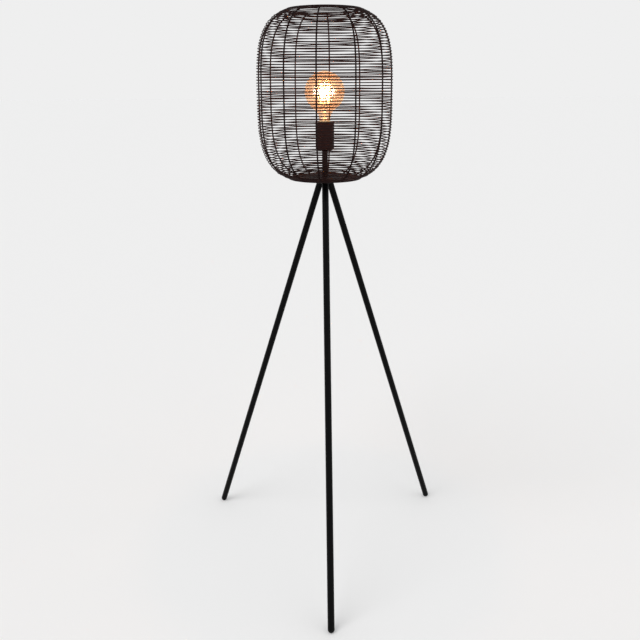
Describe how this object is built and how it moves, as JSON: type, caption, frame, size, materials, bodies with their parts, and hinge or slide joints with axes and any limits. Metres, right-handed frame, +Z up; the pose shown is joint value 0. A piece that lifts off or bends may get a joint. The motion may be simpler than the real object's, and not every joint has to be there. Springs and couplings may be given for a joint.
{
  "type": "floor lamp",
  "caption": "Floor lamp with a barrel-shaped open cage of welded wire hoops and ribs round a screw-in globe bulb, on a splayed tripod of straight black tubes.",
  "frame": {"origin": "middle of the tripod's bounding rectangle on the floor", "axes": "+Z up along the lamp's axis; the front leg points towards -Y; +X points right in the front view"},
  "size_m": [0.6238, 0.5423, 1.3867],
  "materials": {
    "cage_black": "satin black powder coat on welded steel wire",
    "base_plate_black": "satin black powder coat, lit reddish-brown by the bulb",
    "leg_black": "satin black powder coat on steel tube",
    "foot_plastic": "matte black plastic",
    "grommet_rubber": "black rubber",
    "zinc_steel": "zinc plated steel",
    "stem_black": "satin black paint",
    "cover_black": "satin black paint",
    "lampholder_plastic": "black moulded plastic",
    "brass": "bare brass",
    "amber_glass": "amber tinted clear glass",
    "clear_glass": "clear glass",
    "cap_brass": "thin rolled brass",
    "filament_wire": "bare wire",
    "filament_glow": "glowing phosphor coat",
    "insulator_glass": "black glass",
    "solder": "solder"
  },
  "bodies": {
    "lamp": {"cable_grommet": "grommet_rubber", "cage_base_plate": "base_plate_black", "cage_bottom_rim": "cage_black", "cage_hoops_zone_1": "cage_black", "cage_hoops_zone_2": "cage_black", "cage_hoops_zone_3": "cage_black", "cage_hoops_zone_4": "cage_black", "cage_rib_01": "cage_black", "cage_rib_02": "cage_black", "cage_rib_03": "cage_black", "cage_rib_04": "cage_black", "cage_rib_05": "cage_black", "cage_rib_06": "cage_black", "cage_rib_07": "cage_black", "cage_rib_08": "cage_black", "cage_rib_09": "cage_black", "cage_rib_10": "cage_black", "cage_rib_11": "cage_black", "cage_rib_12": "cage_black", "cage_top_rim": "cage_black", "foot_front": "foot_plastic", "foot_rear_left": "foot_plastic", "foot_rear_right": "foot_plastic", "lampholder_body": "lampholder_plastic", "lampholder_centre_contact": "brass", "lampholder_cover": "cover_black", "lampholder_lock_nut": "zinc_steel", "lampholder_screw_shell": "brass", "lampholder_terminal_screws": "zinc_steel", "leg_front": "leg_black", "leg_rear_left": "leg_black", "leg_rear_right": "leg_black", "stem_sleeve": "stem_black", "threaded_nipple": "zinc_steel", "tripod_hub": "leg_black"},
    "bulb_base": {"bulb_cap_insulator": "insulator_glass", "bulb_tip_contact": "solder"},
    "bulb": {"bulb_globe": "amber_glass", "bulb_cap": "cap_brass", "bulb_glass_mount": "clear_glass", "bulb_filament_frame": "filament_wire", "bulb_filaments": "filament_glow"}
  },
  "joints": [
    {"name": "bulb_rise", "type": "slide", "parent": "lamp", "child": "bulb_base", "axis": [0, 0, 1], "range_m": [0, 0.01271]},
    {"name": "bulb_turn", "type": "hinge", "parent": "bulb_base", "child": "bulb", "pos_m": [0, 0.08775, 1.15], "axis": [0, 0, 1], "range_deg": [0, 1260]}
  ],
  "couplings": [
    {"joint": "bulb_rise", "follows": "bulb_turn", "m_per_rad": 0.00057757}
  ]
}
